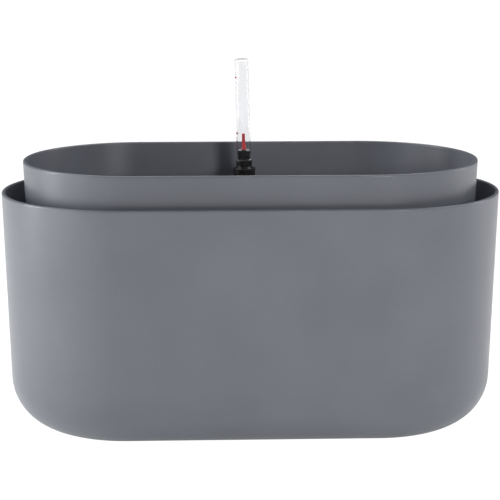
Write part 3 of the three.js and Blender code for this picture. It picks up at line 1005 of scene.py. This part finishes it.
set_in_gauge(housing, strainer, collar_cap, sight, bars, ticks, rod, pointer, foam_float, clip)
print("gauge top in mm:", round(max(v.co.z for v in sight.data.vertices) / MM, 1))

# %% [markdown]
# ## Riding on the frame
#
# Each finished piece is put on the CAD body that carries it, and the CAD node it stands for is hidden. One
# table keeps that in one place. It also names the record's finish for each piece, which nothing here reads.

# %% Tie the pieces to the frame
TIES = [
    (pot_shell, "outer", "outer_pot", "slate_plastic"),
    (seal, "outer", "plug_seal", "rubber"),
    (plug, "plug", "drain_plug", "rubber"),
    (liner_shell, "growing_pot", "liner", "slate_plastic"),
    (well_left, "growing_pot", "wick_well_left", "dark_plastic"),
    (well_right, "growing_pot", "wick_well_right", "dark_plastic"),
    (bush, "growing_pot", "gauge_socket", "rubber"),
    (housing, "gauge", "gauge_housing", "black_plastic"),
    (strainer, "gauge", "gauge_foot_cap", "black_plastic"),
    (collar_cap, "gauge", "gauge_collar", "black_plastic"),
    (sight, "clear_tube", "sight_tube", "clear_plastic"),
    (bars, "clear_tube", None, "red_plastic"),
    (ticks, "clear_tube", None, "red_plastic"),
    (pointer, "indicator", "pointer", "red_plastic"),
    (rod, "indicator", "float_rod", "pale_plastic"),
    (clip, "indicator", "float_clip", "black_plastic"),
    (foam_float, "indicator", "float", "foam"),
]
for piece, body, node, finish in TIES:
    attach(piece, body)
    if node:
        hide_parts(node)
print("pieces:", len(TIES), "faces:", sum(len(piece.data.polygons) for piece, *_ in TIES))

# %% [markdown]
# ## Floor and light
#
# The planter stands on a white table in a nearly dark room, lit by soft rectangular lamps two metres away.
# A tall strip on the left gives the broad sheen on that end. Lamps on the right and one high behind shape
# the rest. A small low lamp at the front, a little to the right, throws the gauge's shadow onto the wall
# behind it. The table also gives off a little light of its own. Both the table and the room are painted
# nearly white for the camera and for rays that have gone through the clear tube, without lighting the
# planter: a Light Path node picks those rays out. That gives a clean white background, but it hides most of
# the planter's shadow on the table.

# %% Floor
FLOOR_HALF = 6.0
FLOOR_COLOUR = (0.86, 0.86, 0.86)
FLOOR_LIGHT = 0.24
FLOOR_SEEN = 0.9
SEEN_WHITE = 1.12


def only_seen(tree, share):
    """The share for camera rays and for rays through clear plastic, and nothing for any other ray."""
    path = tree.nodes.new("ShaderNodeLightPath").outputs
    seen = math_node(tree, "MAXIMUM", path["Is Camera Ray"], path["Is Transmission Ray"])
    return math_node(tree, "MULTIPLY", seen, share)


def studio_floor():
    corners = [(-FLOOR_HALF, -FLOOR_HALF, 0), (FLOOR_HALF, -FLOOR_HALF, 0),
               (FLOOR_HALF, FLOOR_HALF, 0), (-FLOOR_HALF, FLOOR_HALF, 0)]
    floor = new_piece("studio_floor", corners, faces=[(0, 1, 2, 3)])
    material, tree, shader, _ = new_material("studio white", FLOOR_COLOUR, 0.9)
    shader.inputs["Emission Color"].default_value = (1.0, 1.0, 1.0, 1.0)
    shader.inputs["Emission Strength"].default_value = FLOOR_LIGHT
    white = add_node(tree, "ShaderNodeEmission", {"Strength": SEEN_WHITE}).outputs[0]
    share = only_seen(tree, FLOOR_SEEN)
    mix = add_node(tree, "ShaderNodeMixShader", {0: share, 1: shader.outputs[0], 2: white})
    tree.links.new(mix.outputs[0], tree.nodes["Material Output"].inputs["Surface"])
    floor.data.materials.append(material)


studio_floor()

# %% World and lights
ROOM_LIGHT = 0.04
LIGHT_AIM = Vector((0.0, 0.0, 0.1))
LIGHT_DISTANCE = 2.0
LIGHTS = {  # turn from the front and rise, in degrees; width and height in metres; watts
    "left_strip": (-90, 12, (0.4, 1.2), 27.5),
    "left_low": (-62, 5, (0.7, 0.5), 4.2),
    "left_high": (-90, 50, (0.9, 0.9), 5.0),
    "right_high": (90, 50, (0.9, 0.9), 8.0),
    "right_strip": (105, 12, (0.4, 1.2), 8.0),
    "overhead": (180, 60, (1.4, 1.0), 18.0),
    "low_front": (22, 15, (0.33, 0.33), 11.5),
}


def soft_light(name, turn_angle, rise, size, power):
    a, e = math.radians(turn_angle), math.radians(rise)
    toward = Vector((math.sin(a) * math.cos(e), -math.cos(a) * math.cos(e), math.sin(e)))
    lamp = bpy.data.lights.new(name, "AREA")
    lamp.shape = "RECTANGLE"
    lamp.size, lamp.size_y = size
    lamp.energy = power
    light = bpy.data.objects.new(name, lamp)
    light.location = LIGHT_AIM + toward * LIGHT_DISTANCE
    light.rotation_euler = (-toward).to_track_quat("-Z", "Y").to_euler()
    bpy.context.scene.collection.objects.link(light)


world = bpy.data.worlds.new("studio")
world.use_nodes = True
room = world.node_tree.nodes["Background"].inputs
room["Color"].default_value = (1.0, 1.0, 1.0, 1.0)
room_strength = math_node(world.node_tree, "ADD", only_seen(world.node_tree, SEEN_WHITE), ROOM_LIGHT)
world.node_tree.links.new(room_strength, room["Strength"])
bpy.context.scene.world = world
for name, settings in LIGHTS.items():
    soft_light(name, *settings)
bpy.context.scene.view_settings.view_transform = "Standard"
print("lights:", ", ".join(LIGHTS))
